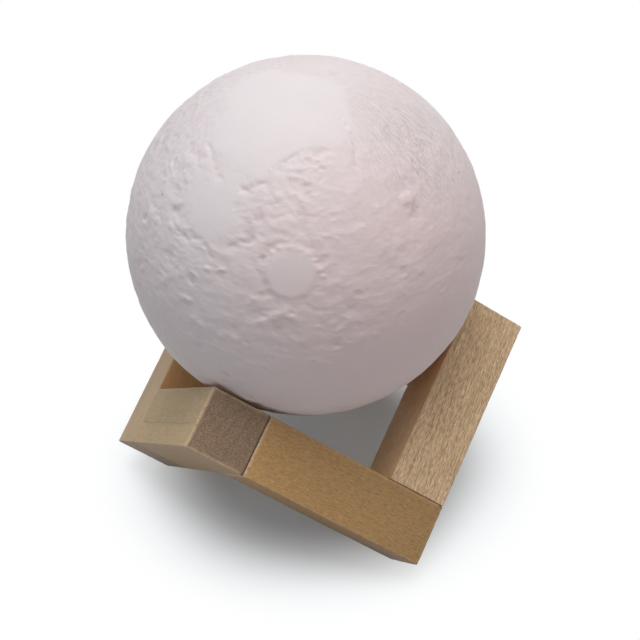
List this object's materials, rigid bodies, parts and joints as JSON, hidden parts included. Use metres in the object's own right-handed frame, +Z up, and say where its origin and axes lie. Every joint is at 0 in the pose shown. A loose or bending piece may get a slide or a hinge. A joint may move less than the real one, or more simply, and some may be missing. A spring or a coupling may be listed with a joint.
{
  "type": "moon lamp",
  "caption": "Moon-shaped rechargeable table lamp: a printed ball with crater relief rests in an open zigzag stand of square wooden bars; it lifts off, and a push button sits underneath.",
  "frame": {"origin": "on the floor, under the middle of the ball and of the stand's ring of bars", "axes": "+Z up, -Y the front with one falling bar of the ring along X, +X to the right; the ring's seats point to 0, 120 and 240 degrees from +X and its feet to 60, 180 and 300 degrees"},
  "size_m": [0.146, 0.1264, 0.161],
  "materials": {
    "beech": "sanded, unvarnished",
    "beech_dowel": "fluted, glued",
    "printed_pla": "3-D printed, matt",
    "white_abs": "moulded, fine texture",
    "grey_abs": "moulded, satin",
    "black_plastic": "moulded",
    "chip_epoxy": "moulded epoxy",
    "plated_steel": "nickel plated",
    "zinc_screw": "zinc plated",
    "clear_acrylic": "clear",
    "frosted_acrylic": "frosted",
    "led_resin": "yellow phosphor",
    "led_white_resin": "pale phosphor",
    "green_board": "solder mask",
    "white_board": "white solder mask on aluminium",
    "foam": "closed-cell foam",
    "cell_pouch": "laminated foil",
    "red_insulation": "extruded",
    "yellow_insulation": "extruded"
  },
  "bodies": {
    "stand": {"left_front_bar": "beech", "front_bar": "beech", "right_front_bar": "beech", "right_back_bar": "beech", "back_bar": "beech", "left_back_bar": "beech", "stand_dowels": "beech_dowel"},
    "moon": {"moon_shell": "printed_pla", "base_cup": "white_abs", "switch_body": "black_plastic", "charge_socket": "plated_steel", "light_pipe": "clear_acrylic", "charge_led": "led_resin", "control_board": "green_board", "control_chips": "chip_epoxy", "board_screws": "zinc_screw", "battery_cell": "cell_pouch", "battery_pad": "foam", "battery_leads": "red_insulation", "led_carrier": "white_abs", "carrier_screws": "zinc_screw", "led_board": "white_board", "warm_leds": "led_resin", "white_leds": "led_white_resin", "led_leads": "yellow_insulation", "diffuser_dome": "frosted_acrylic"},
    "button": {"power_button": "grey_abs", "switch_plunger": "black_plastic"}
  },
  "joints": [
    {"name": "moon_lift", "type": "slide", "parent": "stand", "child": "moon", "axis": [0, 0, 1], "range_m": [0, 0.12]},
    {"name": "button_press", "type": "slide", "parent": "moon", "child": "button", "axis": [0, 0, 1], "range_m": [0, 0.0012], "stiffness_N_per_m": 1300}
  ]
}
